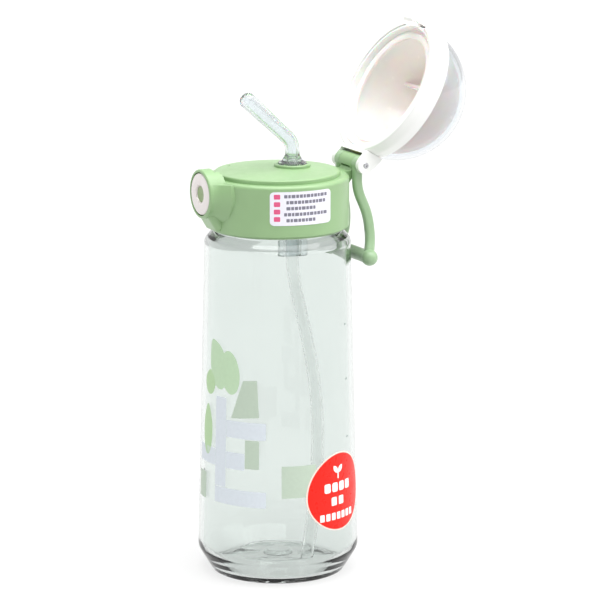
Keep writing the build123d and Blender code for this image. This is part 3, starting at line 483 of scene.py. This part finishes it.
at_egg = on_wall_flat(EGG_AZIMUTH, wall_r)
sticker = finished("bottle_sticker_border", wrapped([egg(1.0)], at_egg, 0.03, 0.12, 1.2), label_edge,
                   "bottle")
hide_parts("bottle_label")
finished("bottle_sticker", wrapped([egg(0.965)], at_egg, 0.15, 0.05, 1.2), label_red,
         "bottle")
sprig = [oval(-2.6, 53.2, 1.2, 2.1, 20, -38, 0.4), oval(0.6, 53.2, 1.2, 2.1, 20, 38, 0.4),
         block(-1.4, -0.6, 48.6, 52.0, 0.3)]
rows = [block(-9.6 + 4.6 * k, -6.0 + 4.6 * k, 42.6, 47.0, 0.9) for k in range(4)]
rows += [block(-5.6 + 4.8 * k, -2.2 + 4.8 * k, 36.2, 40.2, 0.6) for k in range(2)]
rows += [block(-12.2 + 3.3 * k, -9.8 + 3.3 * k, 29.4, 32.8, 0.4) for k in range(7)]
finished("bottle_sticker_marks", wrapped(sprig + rows, at_egg, 0.20, 0.02, 1.2), mark_white,
         "bottle")

# ------------------------------------------------------------------ care label on the collar
LABEL_AZIMUTH, LABEL_HALF_ARC = 83.5, 26.3
LABEL_LOW, LABEL_HIGH, LABEL_CORNER = 168.8, 184.2, 1.8
label_half = COLLAR_R * math.sin(math.radians(LABEL_HALF_ARC))
label_outline = block(-label_half, label_half, LABEL_LOW, LABEL_HIGH, LABEL_CORNER)
at_label = on_wall_flat(LABEL_AZIMUTH, lambda z: COLLAR_R)
care = finished("collar_care_label", wrapped([label_outline], at_label, 0.03, 0.17, 1.0), label_white,
                "lid")
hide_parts("collar_label")
squares = [block(-13.0, -10.3, 180.9 - 3.4 * k, 183.1 - 3.4 * k, 0.4) for k in range(4)]
finished("collar_care_squares", wrapped(squares, at_label, 0.20, 0.02, 0.8), mark_pink,
         "lid")
LINE_ENDS = ((-8.6, 12.8), (-7.6, 12.4), (-7.6, 6.6), (-8.6, 12.8), (-7.6, 7.6))
LINE_TOP, LINE_PITCH, LINE_HEIGHT = 182.9, 2.75, 1.5
MARK_WIDTHS, MARK_GAP = (1.5, 1.1, 1.8, 1.3), 0.35
lines = []
for row, (start, stop) in enumerate(LINE_ENDS):
    top = LINE_TOP - LINE_PITCH * row
    x = start
    k = row
    while x + MARK_WIDTHS[k % 4] < stop:
        lines.append(block(x, x + MARK_WIDTHS[k % 4], top - LINE_HEIGHT, top, 0.2))
        x += MARK_WIDTHS[k % 4] + MARK_GAP
        k += 1
finished("collar_care_lines", wrapped(lines, at_label, 0.20, 0.02, 0.8), mark_grey, "lid")


# ------------------------------------------------------------------ painted shade and warm reflection in the hinge recess
def on_rim(x, z, lift):
    """Point on the rim's outer wall behind the hinge barrel, carried to the open position."""
    r = RIM_R + RIM_BULGE * (z - RIM_Z) / RIM_BULGE_RISE + lift
    a = math.asin(x / r)
    return OPENED @ (Vector((r * math.sin(a), r * math.cos(a), z)) * MM)


# A thin gold-brown film on the rim wall paints the shadowed recess behind the barrel and its warm
# reflected colour.
STRIP_HALF, STRIP_LOW, STRIP_HIGH = 7.8, 187.5, 188.8
strip = [block(-STRIP_HALF, STRIP_HALF, STRIP_LOW, STRIP_HIGH, 0.4)]
finished("hinge_recess_painted_shade", wrapped(strip, on_rim, 0.02, 0.12, 1.2), painted_recess_shade, "dome")

# ------------------------------------------------------------------ clear dome shell
def dome_profile(radius, steps=40):
    """(r, z) points of one skin, from the skirt's lower edge up to the crown on the axis."""
    profile = [(radius, SKIRT_Z)]
    for k in range(steps):
        a = math.pi / 2 * k / steps
        profile.append((radius * math.cos(a), DOME_CENTRE_Z + radius * math.sin(a)))
    return profile + [(0, DOME_CENTRE_Z + radius)]


def open_lathe(outer, inner, segments, place):
    """Outer and inner skins that meet the axis, joined along their lower rims."""
    bm = lathe(outer, segments)
    other = lathe(inner, segments)
    mesh = bpy.data.meshes.new("scratch")
    other.to_mesh(mesh)
    bm.from_mesh(mesh)
    other.free()
    bpy.data.meshes.remove(mesh)
    edges = [e for e in bm.edges if len(e.link_faces) == 1]
    bmesh.ops.bridge_loops(bm, edges=edges)
    bmesh.ops.transform(bm, matrix=place, verts=bm.verts)
    return bm


outer_skin = dome_profile(SHELL_R)
inner_skin = dome_profile(SHELL_R - SHELL_WALL)[::-1]
shell = finished("dome_shell_clear", open_lathe(outer_skin, inner_skin, 200, OPENED), dome_clear,
                 "dome", 40)
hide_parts("dome_shell")


# ------------------------------------------------------------------ silicone mouthpiece, one moulding
def spout_centre(s):
    """Point on the mouthpiece's centreline s mm above the stub's start, and the direction there."""
    reach = KNEE_RADIUS * math.tan(SPOUT_LEAN / 2)
    start_z = KNEE_Z - reach
    if s <= 0:
        return Vector((0, SPOUT_Y, start_z + s)), Vector((0, 0, 1))
    bend = KNEE_RADIUS * SPOUT_LEAN
    a = min(s, bend) / KNEE_RADIUS
    point = Vector((0, SPOUT_Y - KNEE_RADIUS * (1 - math.cos(a)), start_z + KNEE_RADIUS * math.sin(a)))
    along = Vector((0, -math.sin(a), math.cos(a)))
    return point + along * max(0.0, s - bend), along


def spout_mesh(sections, segments=72):
    """Closed moulding through (s, radius) stations; the outline runs up outside and down the bore."""
    bm = bmesh.new()
    rings = []
    for s, r in sections:
        point, along = spout_centre(s)
        side = Vector((1, 0, 0))
        up = along.cross(side)
        ring = []
        for k in range(segments):
            a = 2 * math.pi * k / segments
            ring.append(bm.verts.new((point + side * (r * math.cos(a)) + up * (r * math.sin(a))) * MM))
        rings.append(ring)
    for a, b in zip(rings, rings[1:] + rings[:1]):
        for k in range(segments):
            n = (k + 1) % segments
            bm.faces.new([a[k], a[n], b[n], b[k]])
    return bm


bend_reach = KNEE_RADIUS * math.tan(SPOUT_LEAN / 2)
stub_z = KNEE_Z - bend_reach
bend = KNEE_RADIUS * SPOUT_LEAN
tip = bend + SPOUT_LENGTH - bend_reach
bead_low = INSERT_PLATE_Z - 1.55 - stub_z
bead_top = INSERT_PLATE_Z - 0.05 - stub_z
flange = SEAT_TOP_Z - 0.6 - stub_z
socket_top = INSERT_PLATE_Z + 4.1 - stub_z
profile = rounded([
    (SPOUT_SOCKET_R, bead_low), (SPOUT_BEAD_R, bead_low, 0.5), (SPOUT_BEAD_R, bead_top, 0.3),
    (SPOUT_NECK_R, bead_top, 0.3), (SPOUT_NECK_R, flange, 0.2), (SPOUT_FLANGE_R, flange, 0.3),
    (SPOUT_FLANGE_R, flange + 1.3, 0.5), (SPOUT_FLANGE_R - 1.6, flange + 2.0, 0.9),
    (SPOUT_STUB_R + 0.25, flange + 4.4, 1.6), (SPOUT_STUB_R, flange + 5.4, 0.8),
    (SPOUT_STUB_R, bend + 1.0), (SPOUT_TIP_R, tip - 6.0, 4), (SPOUT_TIP_R, tip, 3.1),
    (SPOUT_SLIT_R + 0.05, tip, 0.2), (SPOUT_SLIT_R, tip - 1.2), (SPOUT_BORE_R, tip - 3.2, 0.5),
    (SPOUT_BORE_R, socket_top + 0.3), (SPOUT_SOCKET_R, socket_top)])
profile = [(s, r) for r, s in divided(profile, 0.8)]
mouth = finished("mouthpiece_silicone", spout_mesh(profile), silicone_clear, None, 40)
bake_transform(mouth)
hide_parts("mouthpiece_foot", "mouthpiece_knee", "mouthpiece_tip")

# ------------------------------------------------------------------ setting, camera and light
floor_mesh = bpy.data.meshes.new("floor")
half = 6.0
corners = [(-half, -half, 0), (half, -half, 0), (half, half, 0), (-half, half, 0)]
floor_mesh.from_pydata(corners, [], [(0, 1, 2, 3)])
floor = bpy.data.objects.new("floor", floor_mesh)
floor.location = (0, 0, -0.0002)
bpy.context.scene.collection.objects.link(floor)
floor_look = Look("floor_paper", (0.16, 0.16, 0.159), 0.75,
                  Emission_Color=(1, 1, 1, 1), Emission_Strength=0.74)
floor_look.bumped(floor_look.noise(900, 2.0), 0.03, 0.02)
floor_mesh.materials.append(floor_look.material)

VIEW_AZIMUTH, CAMERA_DISTANCE, CAMERA_HEIGHT = math.radians(63.3), 1.486, 0.4504
CAMERA_PITCH, CAMERA_YAW, CAMERA_LENS = math.radians(12.26), math.radians(0.40), 197.05
camera = bpy.data.objects.new("camera", bpy.data.cameras.new("camera"))
bpy.context.scene.collection.objects.link(camera)
camera.data.lens = CAMERA_LENS
camera.data.sensor_width = 36.0
camera.data.clip_start, camera.data.clip_end = 0.05, 50
camera.location = (CAMERA_DISTANCE * math.sin(VIEW_AZIMUTH), -CAMERA_DISTANCE * math.cos(VIEW_AZIMUTH),
                   CAMERA_HEIGHT)
camera.rotation_euler = (math.pi / 2 - CAMERA_PITCH, 0, VIEW_AZIMUTH - CAMERA_YAW)
bpy.context.scene.camera = camera

world = bpy.data.worlds.new("studio")
bpy.context.scene.world = world
world.use_nodes = True
tree = world.node_tree
background = tree.nodes["Background"]
direction = tree.nodes.new("ShaderNodeTexCoord")
toward = tree.nodes.new("ShaderNodeVectorMath")
toward.operation = "DOT_PRODUCT"
toward.inputs[1].default_value = (math.sin(VIEW_AZIMUTH), -math.cos(VIEW_AZIMUTH), 0.15)
ramp = tree.nodes.new("ShaderNodeValToRGB")
ramp.color_ramp.elements[0].position = 0.30
ramp.color_ramp.elements[0].color = (1.0, 1.0, 1.0, 1)
ramp.color_ramp.elements[1].position = 1.0
ramp.color_ramp.elements[1].color = (0.32, 0.335, 0.325, 1)
mapped = tree.nodes.new("ShaderNodeMapRange")
mapped.inputs["From Min"].default_value = -1.0
mapped.inputs["From Max"].default_value = 1.0
tree.links.new(direction.outputs["Generated"], toward.inputs[0])
tree.links.new(toward.outputs["Value"], mapped.inputs["Value"])
tree.links.new(mapped.outputs["Result"], ramp.inputs["Fac"])
tree.links.new(ramp.outputs["Color"], background.inputs["Color"])
background.inputs["Strength"].default_value = 0.80


def soft_light(name, azimuth, elevation, strength, spread):
    """Even studio light from one side, as wide as a large softbox."""
    light = bpy.data.lights.new(name, "SUN")
    light.angle = math.radians(spread)
    light.energy = strength
    obj = bpy.data.objects.new(name, light)
    bpy.context.scene.collection.objects.link(obj)
    a, e = math.radians(azimuth), math.radians(elevation)
    back = Vector((math.sin(a) * math.cos(e), -math.cos(a) * math.cos(e), math.sin(e)))
    obj.rotation_mode = "QUATERNION"
    obj.rotation_quaternion = back.to_track_quat("Z", "Y")


soft_light("light_top", 105, 76, 4.3, 70)
soft_light("light_right", 145, 25, 0.6, 40)
cycles = bpy.context.scene.cycles
cycles.max_bounces = 32
cycles.transmission_bounces = 32
cycles.diffuse_bounces = 8
bpy.context.scene.view_settings.view_transform = "Standard"
